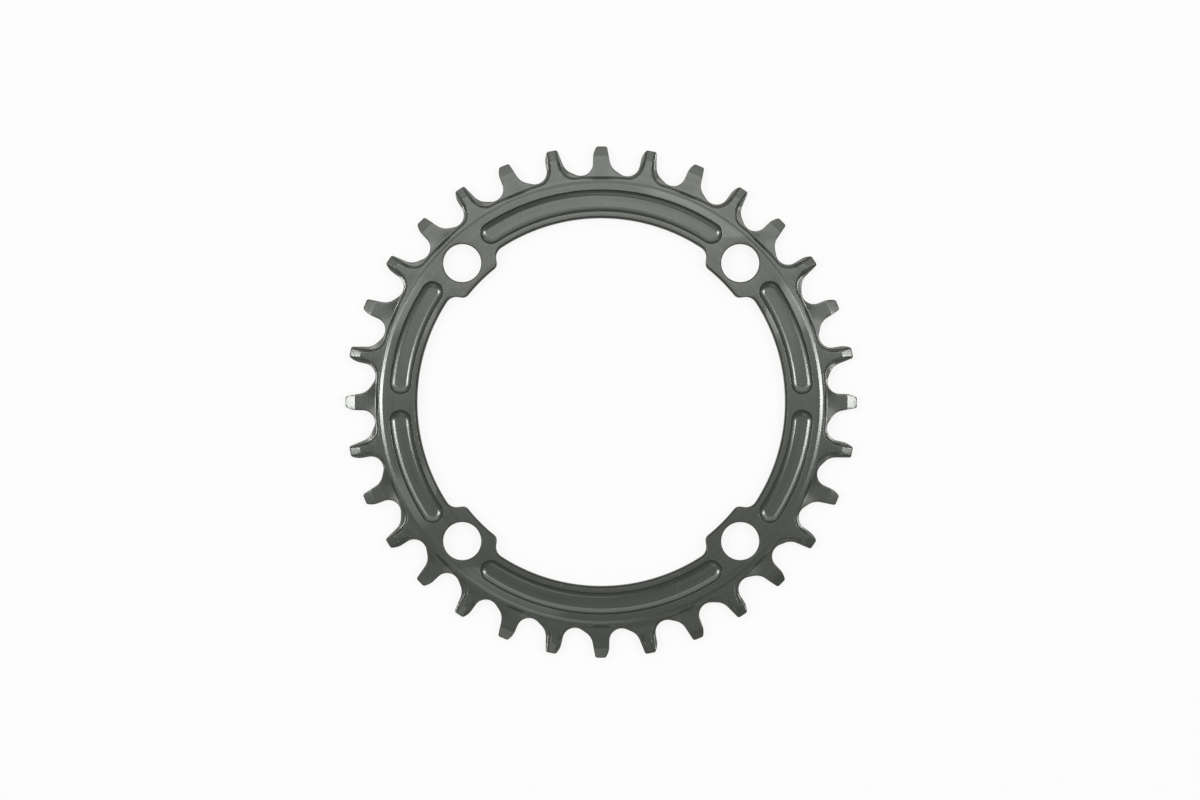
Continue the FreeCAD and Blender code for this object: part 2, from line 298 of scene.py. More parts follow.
def offsets_from(points: Array, line: Array) -> Array:
    """How plan points lie off the straight runs of a line through other points.

    Args:
        points: One point to a row.
        line: The line's points in order.

    Returns:
        For each point and run the vector from the place nearest to it, which is the dot
        product along the run, held between its two ends.
    """
    run = np.diff(line, axis=0)
    from_start = points[:, None] - line[None, :-1]
    share = np.clip((from_start * run).sum(-1) / (run * run).sum(-1), 0, 1)
    return from_start - share[..., None] * run


def distance_to(points: Array, line: Array) -> Array:
    """The least distance of each plan point from any straight run of a line."""
    return np.linalg.norm(offsets_from(points, line), axis=-1).min(axis=1)


# Solid surfaces


class Surface(Gathered):
    """Triangles in space."""

    def add(self, points: Array, faces: Array) -> None:
        """Add points and the triangles or quads between them.

        Args:
            points: One point in space to a row.
            faces: Corner numbers within these points, three or four to a row.
        """
        if faces.shape[1] == 4:
            faces = np.vstack([faces[:, [0, 1, 2]], faces[:, [0, 2, 3]]])
        self.gather(points, faces)

    def add_flat(self, plan: Plan, height: float) -> None:
        """Add what a plan's lines enclose, at one height."""
        points, faces = plan.triangles(with_holes=True)
        self.add(lifted(points, height), faces)

    def add_carried(self, outline: Outline, offsets: list[float | Array],
                    heights: list[float | Array]) -> None:
        """Add a profile carried once round a closed outline, its rows joined by quads.

        Args:
            outline: The closed outline.
            offsets: How far out each row is, alike all round or point by point.
            heights: Each row's height, likewise.
        """
        size = len(outline.points)
        rows = [lifted(outline.offset(by), height) for by, height in zip(offsets, heights)]
        number = np.arange(size)
        after = np.roll(number, -1)
        quads = np.stack([number, after, after + size, number + size], axis=1)
        start = np.arange(len(rows) - 1)[:, None, None] * size
        self.add(np.vstack(rows), (quads[None] + start).reshape(-1, 4))

    def make(self, name: str, material: Material) -> Object:
        """Join the parts to one closed mesh object with weighted normals.

        Args:
            name: The object's name.
            material: Its material.

        Returns:
            The object, at the origin and in metres.
        """
        mesh = bpy.data.meshes.new(name)
        mesh.from_pydata(np.vstack(self.points) * MM, [], np.vstack(self.joins).tolist())
        shape = bmesh.new()
        shape.from_mesh(mesh)
        bmesh.ops.remove_doubles(shape, verts=shape.verts, dist=WELD * MM)
        bmesh.ops.dissolve_degenerate(shape, edges=shape.edges, dist=NO_LENGTH)
        bmesh.ops.triangulate(shape, faces=shape.faces)
        bmesh.ops.recalc_face_normals(shape, faces=shape.faces)
        open_edges = sum(1 for edge in shape.edges if len(edge.link_faces) != 2)
        shape.to_mesh(mesh)
        shape.free()
        mesh.materials.append(material)
        mesh.shade_smooth()
        mesh.normals_split_custom_set_from_vertices(weighted_normals(mesh).tolist())
        log.info("%s: %d triangles, %d open edges", name, len(mesh.polygons), open_edges)
        return placed(name, mesh)


def placed(name: str, data: ID) -> Object:
    """A new object in the scene, with its mesh, lamp or camera."""
    made = bpy.data.objects.new(name, data)
    bpy.context.collection.objects.link(made)
    return made


def lifted(points: Array, height: float | Array) -> Array:
    """Plan points put at a height, or each at its own."""
    return np.column_stack([points, np.broadcast_to(height, len(points))])


def weighted_normals(mesh: Mesh) -> Array:
    """Vertex normals in which each face counts by its area, so that flats stay flat.

    Args:
        mesh: A mesh of triangles.

    Returns:
        To each vertex the unit vector along the sum of its triangles' cross products.
    """
    points = np.empty(len(mesh.vertices) * 3, dtype=np.float32)
    mesh.vertices.foreach_get("co", points)
    points = points.reshape(-1, 3).astype(float)
    corners = np.empty(len(mesh.polygons) * 3, dtype=np.int32)
    mesh.polygons.foreach_get("vertices", corners)
    corners = corners.reshape(-1, 3).T
    first, second, third = points[corners]
    cross = np.cross(second - first, third - first)
    normals = np.zeros_like(points)
    for corner in corners:
        np.add.at(normals, corner, cross)
    length = np.linalg.norm(normals, axis=1, keepdims=True)
    return normals / np.maximum(length, np.finfo(float).tiny)


# The ring's sizes, in millimetres and degrees


@dataclass(frozen=True)
class RingSizes:
    """The chainring's sizes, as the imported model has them."""

    teeth: int = 32
    chain_pitch: float = 12.7
    body_thick: float = 4.0
    narrow_thick: float = 2.0
    tooth_rise: float = 2.91
    bevel_angle: float = 15.0
    wide_bevel_run: float = 2.7
    narrow_bevel_run: float = 2.5
    rim_drop: float = 6.94
    bolt_circle: float = 104.0
    bolt_count: int = 4
    bolt_hole: float = 10.1

    @property
    def tooth_angle(self) -> float:
        """The clock angle from one tooth to the next."""
        return 360 / self.teeth

    @property
    def pitch_radius(self) -> float:
        """Half the chain pitch over the sine of half the tooth angle."""
        return self.chain_pitch / 2 / math.sin(math.radians(self.tooth_angle / 2))

    @property
    def tip_radius(self) -> float:
        """Radius of the tooth tips."""
        return self.pitch_radius + self.tooth_rise

    @property
    def rim_radius(self) -> float:
        """Radius at which the flat face ends in the rim bevel."""
        return self.pitch_radius - self.rim_drop

    @property
    def bevel_slope(self) -> float:
        """Fall of the turned bevels over their run."""
        return math.tan(math.radians(self.bevel_angle))

    @property
    def bolt_clocks(self) -> Array:
        """The clock angles of the bolt holes, the first half a step after 12 o'clock."""
        return (np.arange(self.bolt_count) + 0.5) * 360 / self.bolt_count

    @property
    def middle(self) -> float:
        """Height of the plate's mid-plane."""
        return self.body_thick / 2


# Teeth


@dataclass
class ToothedRim:
    """The teeth and the rim bevel, from the join with the plate out to the tips.

    One sector, with a narrow tooth between the halves of two wide ones, is worked out
    and repeated. Its plan is triangulated along its outline and its creases, with rows
    of points beside them, and the height of a point follows from where it is in the plan.
    """

    sizes: RingSizes
    join_radius: float = 57.6
    join_count: int = 24
    step: float = 0.26
    seat_radius: float = 3.25
    seat_drop: float = 1.44
    seat_shift: float = 0.77
    relief_radius: float = 4.14
    flank_lean: float = 10.8
    back_radius: float = 5.2
    back_lean: float = 1.5
    tip_corner: float = 0.65
    recess_drop: float = 5.19
    recess_wall_angle: float = 40.0
    recess_corner: float = 3.55
    rib_foot_width: float = 2.86
    rib_lean: float = 5.5
    edge_round: float = 0.14
    crease_round: float = 0.07
    foot_round: float = 0.6
    seat_rise: float = 0.3
    seat_rise_clocks: Pair = (0.8, 5.4)
    seat_rise_radii: Pair = (60.2, 63.6)
    rim_bevel_run: float = 0.76
    arc_count: int = 33
    rise_arc_from: int = 2
    bevel_line_count: int = 31
    bevel_line_part: int = 3
    beside_bevels: float = 0.05
    beside_floor: tuple[float, ...] = (-0.28, -0.1, 0.08)
    beside_crest: float = 0.09
    edge_rows: tuple[float, ...] = (0.3, 1.0)
    rise_rows_from: float = 60.25
    rise_row_count: int = 5
    past_tip: float = 0.5
    inside_by: float = 0.012

    @property
    def base(self) -> float:
        """Radius of the recesses' inner edge."""
        return self.sizes.pitch_radius - self.recess_drop

    def gap(self) -> Outline:
        """The outline of one gap, from the middle of one tooth's land to that of the next.

        Returns:
            The land, a tip corner, the flank, the relief about the pitch circle, the
            ramp, the roller seat, the back, its rounding and corner, and the next land.
        """
        sizes = self.sizes
        tip = sizes.tip_radius
        turn = sizes.tooth_angle
        corner = self.tip_corner
        relief = heading(turn / 2) * sizes.pitch_radius
        seat = heading(turn / 2) * (sizes.pitch_radius - self.seat_drop)
        seat = seat + heading(turn / 2 + 90) * self.seat_shift

        up_flank = heading(-self.flank_lean)
        off_flank = heading(90 - self.flank_lean)
        flank_low = relief - off_flank * self.relief_radius
        flank_corner = leave_circle(flank_low - off_flank * corner, up_flank, tip - corner)

        apart = seat - relief
        opening = math.acos((self.relief_radius - self.seat_radius) / np.linalg.norm(apart))
        off_ramp = heading(math.degrees(math.atan2(apart[0], apart[1]) + opening))

        up_back = heading(turn + self.back_lean)
        off_back = heading(turn + self.back_lean + 90)
        back_low = seat + off_back * self.seat_radius
        back_high = leave_circle(back_low, up_back, sizes.pitch_radius)
        back = back_high + off_back * self.back_radius
        back_corner = meet_circles(tip - corner, back, self.back_radius - corner)
        back_top = back + (back_corner - back) * (self.back_radius / (self.back_radius - corner))

        outer = tip / (tip - corner)
        return traced([
            Corner(np.array([0, tip]), AXIS), Corner(flank_corner * outer, flank_corner),
            Corner(flank_corner + off_flank * corner), Corner(flank_low, relief, False),
            Corner(relief + off_ramp * self.relief_radius),
            Corner(seat + off_ramp * self.seat_radius, seat, False), Corner(back_low),
            Corner(back_high, back), Corner(back_top, back_corner),
            Corner(back_corner * outer, AXIS), Corner(heading(turn) * tip)], self.step)

    def sector_outline(self) -> Outline:
        """The outer edge of a sector, two gaps long."""
        gap = self.gap()
        turn = self.sizes.tooth_angle
        end = heading(turn)
        return Outline(
            np.vstack([spun(gap.points, -turn), gap.points, end[None] * self.sizes.tip_radius]),
            np.vstack([spun(gap.normals, -turn), gap.normals, end[None]]),
            np.zeros(2 * len(gap.points) + 1))

    def recess_frame(self) -> dict[str, Array]:
        """The points that a recess's floor is drawn from, right of its narrow tooth.

        Returns:
            A point of the rib's foot line and the line's direction, the way out across
            it, the corner's centre, and the corner's ends on the line and on the base.
        """
        base = self.base
        up = heading(-self.rib_lean)
        into = heading(90 - self.rib_lean)
        rib = np.array([self.rib_foot_width / 2, self.sizes.pitch_radius])
        centre = leave_circle(rib + into * self.recess_corner, up, base + self.recess_corner)
        drawn = {
            "rib": rib, "up": up, "out": -into, "centre": centre,
            "line_end": foot(centre, rib, up),
            "base_end": centre * (base / (base + self.recess_corner)),
        }
        return {name: flipped(spun(value, -self.sizes.tooth_angle))
                for name, value in drawn.items()}

    def beyond_floor(self, points: Array) -> Array:
        """How far plan points lie outside the floor of the recess, negative inside it.

        Args:
            points: One point to a row, within the sector.

        Returns:
            Inside the base circle before the corner, away from the corner's centre
            beyond its radius in the corner, and across the rib's foot line after it.
        """
        right = np.abs(points) * (1, 0) + points * (0, 1)
        frame = self.recess_frame()
        from_centre = right - frame["centre"]
        before = turn_of(frame["centre"], right) > 0
        after = from_centre @ frame["up"] > 0
        corner = np.linalg.norm(from_centre, axis=1) - self.recess_corner
        along_base = self.base - np.linalg.norm(right, axis=1)
        along_line = (right - frame["rib"]) @ frame["out"]
        return np.where(after, along_line, np.where(before, along_base, corner))

    def risen(self, points: Array) -> Array:
        """How much a recess's floor rises under the tooth gaps, where its wall runs out.

        Args:
            points: One plan point to a row.

        Returns:
            One height to a point: a smooth step up over the clock angle either side of
            the narrow tooth, times one down over the radius.
        """
        clock, radius = polar(points)
        inner, outer = self.seat_rise_radii
        share = smooth(np.abs(clock), *self.seat_rise_clocks) * smooth(radius, outer, inner)
        return self.seat_rise * share

    def floor_outline(self) -> Outline:
        """The edge of a recess's floor, from the one wide tooth to the other."""
        frame = self.recess_frame()
        high = leave_circle(frame["rib"], frame["up"], self.sizes.tip_radius + self.past_tip)
        left = {name: flipped(value) for name, value in frame.items()}
        drawn = traced([
            Corner(flipped(high)), Corner(left["line_end"], left["centre"], False),
            Corner(left["base_end"], AXIS), Corner(frame["base_end"], frame["centre"], False),
            Corner(frame["line_end"]), Corner(high)], self.step)
        return Outline(drawn.points, -drawn.normals, drawn.values)

    def turned_height(self, radius: Array) -> Array:
        """Height of the turned face over the mid-plane.

        Args:
            radius: One distance from the axis to a point.

        Returns:
            One height to a point, from the straight runs between the face's corners.
        """
        sizes = self.sizes
        top = sizes.body_thick / 2
        band = top - self.rim_bevel_run * sizes.bevel_slope
        start = sizes.tip_radius - sizes.wide_bevel_run
        low = band - sizes.wide_bevel_run * sizes.bevel_slope
        return np.interp(radius, [0, sizes.rim_radius, sizes.rim_radius + self.rim_bevel_run,
                                  start, sizes.tip_radius], [top, top, band, band, low])

    def height(self, points: Array, edge_distance: Array) -> Array:
        """Height of the toothed rim over the mid-plane.

        The lower of the turned face and the recess, blended where they meet. The recess
        has its floor, which falls towards a narrow tip and rises under the gaps, and
        beyond it a sloped wall with a round foot. Near the outline the face falls as a
        quarter circle.

        Args:
            points: One plan point to a row.
            edge_distance: Each point's distance from the outline.

        Returns:
            One height to a point.
        """
        sizes = self.sizes
        clock, radius = polar(points)
        start = sizes.tip_radius - sizes.narrow_bevel_run
        bevel = np.where(np.abs(clock) < sizes.tooth_angle / 2,
                         np.maximum(radius - start, 0) * sizes.bevel_slope, 0)
        floor = sizes.narrow_thick / 2 - bevel + self.risen(points)
        beyond = self.beyond_floor(points)
        rise = math.radians(90 - self.recess_wall_angle)
        tangent = self.foot_round * math.tan(rise / 2)
        across = np.clip(beyond + tangent, 0, self.foot_round * math.sin(rise))
        recess = floor + np.where(beyond > tangent * math.cos(rise), beyond * math.tan(rise),
                                  fall(self.foot_round, across))
        turned = self.turned_height(radius)
        near = np.maximum(self.crease_round - np.abs(turned - recess), 0) / self.crease_round
        face = np.minimum(turned, recess) - near * near * self.crease_round / 4
        return face - fall(self.edge_round, np.maximum(self.edge_round - edge_distance, 0))

    def crest_offset(self, floor: Outline) -> Array:
        """How far outside the floor's edge the recess's wall meets the turned face.

        Args:
            floor: The floor's edge.

        Returns:
            For each of its points, the height between floor and face times the tangent
            of the wall's angle, found by going there and measuring again.
        """
        first_guess, rounds = 0.6, 6
        offset = np.full(len(floor.points), first_guess)
        spread = math.tan(math.radians(self.recess_wall_angle))
        for _ in range(rounds):
            place = floor.offset(offset)
            face = self.turned_height(np.linalg.norm(place, axis=1))
            offset = (face - self.sizes.narrow_thick / 2 - self.risen(place)) * spread
        return offset

    def sector(self) -> tuple[Array, Array, Array]:
        """The front face of a sector.

        Returns:
            Its plan points, their heights over the mid-plane, and its triangles.
        """
        sizes = self.sizes
        turn = sizes.tooth_angle
        tip = sizes.tip_radius
        outline = self.sector_outline()
        beside = np.array([self.beside_bevels, -self.beside_bevels])
        rim = sizes.rim_radius
        rings = np.concatenate([rim + self.rim_bevel_run + beside, rim + beside])
        wide_start = tip - sizes.wide_bevel_run + beside
        narrow_start = tip - sizes.narrow_bevel_run + beside
        depths = np.array(self.edge_rows) * self.edge_round

        across = np.concatenate([tip - depths, wide_start, rings])[:, None]
        join = heading(np.linspace(turn, -turn, self.join_count + 1)) * self.join_radius
        arc = heading(np.linspace(-turn, turn, self.arc_count))
        lines = [outline.offset(-depth) for depth in depths]
        lines += [arc * radius for radius in rings]
        floor = self.floor_outline()
        crest = self.crest_offset(floor)
        above = (crest - self.beside_crest, crest, crest + self.beside_crest)
        for offset in (*self.beside_floor, *above):
            lines += self.runs(floor.offset(offset), outline)
        rise_arc = arc[self.rise_arc_from:-self.rise_arc_from]
        for radius in np.linspace(self.rise_rows_from, self.seat_rise_radii[1],
                                  self.rise_row_count):
            lines += self.runs(rise_arc * radius, outline)
        fine = np.arange(self.bevel_line_count) / (self.bevel_line_count - 1)
        fine = fine * turn / self.bevel_line_part
        for clocks, radii in ((fine - turn, wide_start), (turn - fine, wide_start),
                              (fine, narrow_start), (-fine, narrow_start)):
            for radius in radii:
                lines.append(self.runs(heading(clocks) * radius, outline)[0])

        plan = Plan()
        plan.add(np.vstack([outline.points, heading(turn) * across, join,
                            heading(-turn) * across[::-1]]), closed=True)
        for line in lines:
            plan.add(line)
        points, faces = plan.triangles(with_holes=False)
        return points, self.height(points, distance_to(points, outline.points)), faces

    def runs(self, line: Array, outline: Outline) -> list[Array]:
        """The parts of a line that lie within the outline.

        Args:
            line: The line's points in order.
            outline: The sector's outer edge.

        Returns:
            Its runs of points inside, which are those to the right of the nearest edge.
        """
        off = offsets_from(line, outline.points)
        far = np.linalg.norm(off, axis=-1)
        nearest = (np.arange(len(line)), far.argmin(axis=1))
        side = turn_of(np.diff(outline.points, axis=0)[nearest[1]], off[nearest])
        inside = (side < 0) & (far[nearest] > self.inside_by)
        starts = np.flatnonzero(np.diff(inside.astype(int))) + 1
        parts = zip(np.split(line, starts), inside[np.append(0, starts)])
        return [part for part, kept in parts if kept]

    def add_to(self, surface: Surface) -> None:
        """Add the whole toothed rim, front, back and outer wall.

        Args:
            surface: What it is added to.
        """
        points, height, faces = self.sector()
        outline = self.sector_outline()
        sides = np.sort(faces[:, [0, 1, 1, 2, 2, 0]].reshape(-1, 2), axis=1)
        edges, uses = np.unique(sides, axis=0, return_counts=True)
        edges = edges[uses == 1]
        on_outline = distance_to(points, outline.points) < ON_LINE
        wall = edges[on_outline[edges].all(axis=1)]
        quads = np.hstack([wall, wall[:, ::-1] + len(points)])
        middle = self.sizes.middle
        for turn in np.arange(self.sizes.teeth // 2) * 2 * self.sizes.tooth_angle:
            plan = spun(points, turn)
            front = lifted(plan, middle + height)
            back = lifted(plan, middle - height)
            surface.add(front, faces)
            surface.add(back, faces)
            surface.add(np.vstack([front, back]), quads)
        log.info("toothed rim: %d triangles in a sector's face", len(faces))

    def join_line(self) -> Array:
        """The circle of points that the rim shares with the plate."""
        turn = self.sizes.tooth_angle
        clocks = np.arange(self.join_count) / self.join_count * 2 * turn - turn
        starts = np.arange(self.sizes.teeth // 2) * 2 * turn
        return heading((starts[:, None] + clocks[None]).ravel()) * self.join_radius


# Plate


@dataclass
class Plate:
    """The flat plate inside the rim, with its opening, bolt holes and pockets."""

    sizes: RingSizes
    tab_wall: float = 1.81
    tab_side_reach: float = 9.06
    tab_side_lean: float = 53.0
    tab_corner: float = 1.9
    tab_fillet: float = 3.0
    tab_end_edge: float = 0.5
    tab_side_edge: float = 0.2
    window_radius: float = 48.65
    window_edge: float = 0.6
    hole_edge: float = 0.25
    back_edge: float = 0.15
    pocket_radius: float = 53.3
    pocket_width: float = 5.6
    pocket_depth: float = 1.9
    pocket_dish_run: float = 1.45
    pocket_dish_leans: Pair = (9.0, 31.0)
    pocket_foot_round: float = 0.3
    pocket_edge: float = 0.15
    pocket_reach: float = 36.1
    pocket_web: float = 4.6
    soft: float = 0.03
    opening_step: float = 0.4
    pocket_step: float = 0.45
    hole_count: int = 96
    section_counts: tuple[int, int, int] = (4, 6, 10)

    def opening(self) -> Outline:
        """The central opening, with the width of its front bevel as the value.

        Returns:
            For each tab its end about the axis, a corner, a straight side, a fillet,
            and then the window's arc and the same the other way round.
        """
        sizes = self.sizes
        bolt_radius = sizes.bolt_circle / 2
        end_radius = bolt_radius - sizes.bolt_hole / 2 - self.tab_wall
        along = heading(90 - self.tab_side_lean)
        off = heading(180 - self.tab_side_lean)
        side = np.array([0, bolt_radius]) + off * self.tab_side_reach
        corner = leave_circle(side - off * self.tab_corner, along, end_radius + self.tab_corner)
        fillet = leave_circle(side + off * self.tab_fillet, along,
                              self.window_radius - self.tab_fillet)
        right = np.array([
            corner * (end_radius / (end_radius + self.tab_corner)), corner,
            foot(corner, side, along), foot(fillet, side, along), fillet,
            fillet * (self.window_radius / (self.window_radius - self.tab_fillet))])
        left = flipped(right)
        end, flank, window = self.tab_end_edge, self.tab_side_edge, self.window_edge
        corners = []
        turn = 360 / sizes.bolt_count
        for clock in sizes.bolt_clocks:
            last, here, after = spun(left, clock), spun(right, clock), spun(left, clock + turn)
            corners += [
                Corner(last[0], AXIS, True, end), Corner(here[0], here[1], False, end),
                Corner(here[2], value=flank), Corner(here[3], here[4], True, flank),
                Corner(here[5], AXIS, True, window), Corner(after[5], after[4], True, window),
                Corner(after[3], value=flank), Corner(after[2], after[1], False, flank)]
        return traced([*corners, corners[0]], self.opening_step)

    def bolt_hole(self, clock: float) -> Outline:
        """A bolt hole's circle, with the width of its front bevel as the value.

        Args:
            clock: The hole's clock angle.

        Returns:
            The circle.
        """
        out = heading(np.arange(self.hole_count) / self.hole_count * 360)
        centre = heading(clock) * self.sizes.bolt_circle / 2
        edges = np.full(len(out), self.hole_edge)
        return Outline(centre + out * self.sizes.bolt_hole / 2, out, edges)

    def pocket(self, begin: float, end: float) -> Outline:
        """A round-ended pocket's wall, from one clock angle to another.

        Args:
            begin: Clock angle at which it begins.
            end: Clock angle at which it ends.

        Returns:
            The outer arc, the round end, the inner arc and the other round end.
        """
        half = self.pocket_width / 2
        inset = math.degrees(math.asin(half / self.pocket_radius))
        first, last = heading(begin + inset), heading(end - inset)
        outer, inner = self.pocket_radius + half, self.pocket_radius - half
        corners = [Corner(first * outer, AXIS), Corner(last * outer, last * self.pocket_radius),
                   Corner(last * inner, AXIS, False),
                   Corner(first * inner, first * self.pocket_radius)]
        return traced([*corners, corners[0]], self.pocket_step)

    def pockets(self) -> list[Outline]:
        """The six pockets: one long and two short ones, and the same opposite."""
        reach, web = self.pocket_reach, self.pocket_web / 2
        spans = [(-reach, reach), (90 - reach, 90 - web), (90 + web, 90 + reach)]
        return [self.pocket(begin + turn, end + turn) for turn in (0, 180) for begin, end in spans]

    def add_wall(self, surface: Surface, outline: Outline, back: float) -> tuple[Array, Array]:
        """Add an upright wall with a bevel at either face, its corners slightly broken.

        Args:
            surface: What it is added to.
            outline: The wall's outline, whose values are the front bevel's width.
            back: The back bevel's width.

        Returns:
            Where the wall leaves the front face and where it leaves the back face.
        """
        front, soft, top = outline.values, self.soft, self.sizes.body_thick
        offsets = [front + soft, front - soft, soft, 0.0, 0.0, soft, back - soft, back + soft]
        heights = [top, top - soft, top - front + soft, top - front - soft, back + soft,
                   back - soft, soft, 0.0]
        surface.add_carried(outline, offsets, heights)
        return outline.offset(offsets[0]), outline.offset(offsets[-1])

    def pocket_section(self) -> tuple[Array, Array]:
        """A pocket's section, from the front face down its wall and in to the flat floor.

        The edge is a quarter circle, the wall is upright, its foot is an arc, and from
        there the floor falls as a parabola, whose lean to the level goes from the
        greater one at the wall to the lesser one where the flat floor starts.

        Returns:
            How far out from the wall each point is, and its height.
        """
        top, run = self.sizes.body_thick, self.pocket_dish_run
        low, high = (math.tan(math.radians(lean)) for lean in self.pocket_dish_leans)
        edge_count, foot_count, dish_count = self.section_counts
        edge = np.radians(np.linspace(90, 0, edge_count))
        tilt = np.radians(np.linspace(90, self.pocket_dish_leans[1], foot_count))
        arc = self.pocket_foot_round * (1 - np.sin(tilt))
        left = np.linspace(1 - arc[-1] / run, 0, dish_count)
        floor = top - self.pocket_depth + run * (low * left + (high - low) * left ** 2 / 2)
        raised = self.pocket_foot_round * (np.cos(tilt[-1]) - np.cos(tilt[:-1]))
        offsets = np.concatenate([self.pocket_edge * (1 - np.cos(edge)), -arc[:-1],
                                  -run * (1 - left)])
        heights = np.concatenate([top - self.pocket_edge * (1 - np.sin(edge)),
                                  floor[0] + raised, floor])
        return offsets, heights

    def add_pocket(self, surface: Surface, pocket: Outline) -> Array:
        """Add a pocket's edge, wall and dished floor.

        Args:
            surface: What it is added to.
            pocket: The outline of its wall.

        Returns:
            Where its edge leaves the front face.
        """
        offsets, heights = self.pocket_section()
        surface.add_carried(pocket, list(offsets), list(heights))
        plan = Plan()
        plan.add(pocket.offset(offsets[-1]), closed=True)
        surface.add_flat(plan, heights[-1])
        return pocket.offset(offsets[0])

    def add_to(self, surface: Surface, join: Array) -> None:
        """Add the whole plate, front and back.

        Args:
            surface: What it is added to.
            join: The circle of points that it shares with the toothed rim.
        """
        walls = [(self.opening(), self.back_edge)]
        walls += [(self.bolt_hole(clock), self.hole_edge) for clock in self.sizes.bolt_clocks]
        lines = [(join, join)] + [self.add_wall(surface, *wall) for wall in walls]
        front, back = Plan(), Plan()
        for front_line, back_line in lines:
            front.add(front_line, closed=True)
            back.add(back_line, closed=True)
        for pocket in self.pockets():
            front.add(self.add_pocket(surface, pocket), closed=True)
        surface.add_flat(front, self.sizes.body_thick)
        surface.add_flat(back, 0.0)


# Finishes


@dataclass(frozen=True)
class NoiseLayer:
    """A noise of a finish, and the two of its values that become 0 and 1."""

    low: float
    high: float
    detail: float
    roughness: float
    coarser: float = 1.0


class Nodes:
    """Shader nodes of one tree, made and linked by their socket names."""

    def __init__(self, tree: NodeTree) -> None:
        """Start on an empty tree."""
        self.tree = tree
        tree.nodes.clear()

    def add(self, kind: str, inputs: dict[str | int, object] | None = None,
            **settings: object) -> Node:
        """A new node.

        Args:
            kind: The node's type, without the ShaderNode before it, or in full.
            inputs: The socket or plain value for each input, by its name or number.
            settings: Values of its properties.

        Returns:
            The node.
        """
        node = self.tree.nodes.new(kind if kind.startswith("Node") else "ShaderNode" + kind)
        for name, value in settings.items():
            setattr(node, name, value)
        for socket, source in (inputs or {}).items():
            self.join(source, node, socket)
        return node

    def join(self, source: object, node: Node, socket: str | int) -> None:
        """Put a socket or a plain value into a node's input."""
        if isinstance(source, NodeSocket):
            self.tree.links.new(source, node.inputs[socket])
        else:
            node.inputs[socket].default_value = source

    def close(self, **results: NodeSocket) -> NodeTree:
        """The group's tree, once its results are joined to its outputs."""
        for name, result in results.items():
            self.join(result, self.tree.nodes["Group Output"], name)
        return self.tree

    def math(self, operation: str, *values: object) -> NodeSocket:
        """The result of a mathematical operation on sockets and numbers."""
        return self.add("Math", dict(enumerate(values)), operation=operation).outputs[0]

    def chain(self, operation: str, *values: object) -> NodeSocket:
        """The result of an operation carried on from value to value."""
        return reduce(lambda first, second: self.math(operation, first, second), values)

    def weighted(self, *parts: tuple[NodeSocket, float]) -> NodeSocket:
        """The sum of values, each times its weight."""
        return self.chain("ADD", *(self.math("MULTIPLY", *part) for part in parts))

    def spread(self, value: object, low: float, high: float, to_low: float = 0.0,
               to_high: float = 1.0) -> NodeSocket:
        """A value taken from one range to another, and held within it."""
        given = enumerate((value, low, high, to_low, to_high))
        return self.add("MapRange", dict(given), clamp=True).outputs[0]

    def noise(self, vector: object, scale: object, layer: NoiseLayer) -> NodeSocket:
        """A layer's noise at a place.

        Args:
            vector: The place.
            scale: How fine it is before the layer makes it coarser.
            layer: What kind of noise it is.

        Returns:
            The noise, from 0 to 1.
        """
        node = self.add("TexNoise", {
            "Vector": vector, "Scale": self.math("DIVIDE", scale, layer.coarser),
            "Detail": layer.detail, "Roughness": layer.roughness})
        return self.spread(node.outputs["Fac"], layer.low, layer.high)

    def mix(self, share: object, first: object, second: object) -> NodeSocket:
        """One colour mixed with another, at the sockets that a mix has for colours."""
        colours, result = (6, 7), 2
        given = {"Factor": share} | dict(zip(colours, (first, second)))
        return self.add("Mix", given, data_type="RGBA").outputs[result]


def new_group(name: str, inputs: dict[str, object],
              outputs: tuple[str, ...]) -> tuple[Nodes, bpy_prop_collection]:
    """A shader node group with named sockets.

    Args:
        name: The group's name.
        inputs: Each input's name and what it is if nothing feeds it.
        outputs: The names of its outputs, which are all values.

    Returns:
        The group's nodes, and the sockets that bring its inputs.
    """
    tree = bpy.data.node_groups.new(name, "ShaderNodeTree")
    for socket, value in inputs.items():
        kind = "NodeSocketVector" if isinstance(value, tuple) else "NodeSocketFloat"
        made = tree.interface.new_socket(socket, in_out="INPUT", socket_type=kind)
        made.default_value = value
    for socket in outputs:
        tree.interface.new_socket(socket, in_out="OUTPUT", socket_type="NodeSocketFloat")
    nodes = Nodes(tree)
    nodes.add("NodeGroupOutput")
    return nodes, nodes.add("NodeGroupInput").outputs


def own_nodes(owner: Material | World) -> Nodes:
    """The nodes of a new material or world, none so far."""
    owner.use_nodes = True
    return Nodes(owner.node_tree)


def turning_marks() -> NodeTree:
    """Fine rings about the Z axis, as a lathe or a turned polish leaves them.

    Noise at a place whose first part is the distance from the axis, much stretched, and
    whose other two are the sine and cosine of the angle round it, so it has no seam.

    Returns:
        The group, whose Marks run from 0 to 1.
    """
    nodes, given = new_group(
        "Turning marks", {"Vector": ORIGIN, "Fineness": 900.0, "Length": 2.0}, ("Marks",))
    split = nodes.add("SeparateXYZ", {0: given["Vector"]}).outputs
    flat = nodes.add("CombineXYZ", {0: split[0], 1: split[1]}).outputs[0]
    radius = nodes.add("VectorMath", {0: flat}, operation="LENGTH").outputs["Value"]
    out = nodes.add("VectorMath", {0: flat}, operation="NORMALIZE").outputs[0]
    parts = nodes.add("SeparateXYZ", {0: out}).outputs
    place = nodes.add("CombineXYZ", {0: nodes.math("MULTIPLY", radius, given["Fineness"]),
                                     1: nodes.math("MULTIPLY", parts[0], given["Length"]),
                                     2: nodes.math("MULTIPLY", parts[1], given["Length"])})
    rings = NoiseLayer(0.25, 0.75, detail=4.0, roughness=0.6)
    return nodes.close(Marks=nodes.noise(place.outputs[0], 1.0, rings))


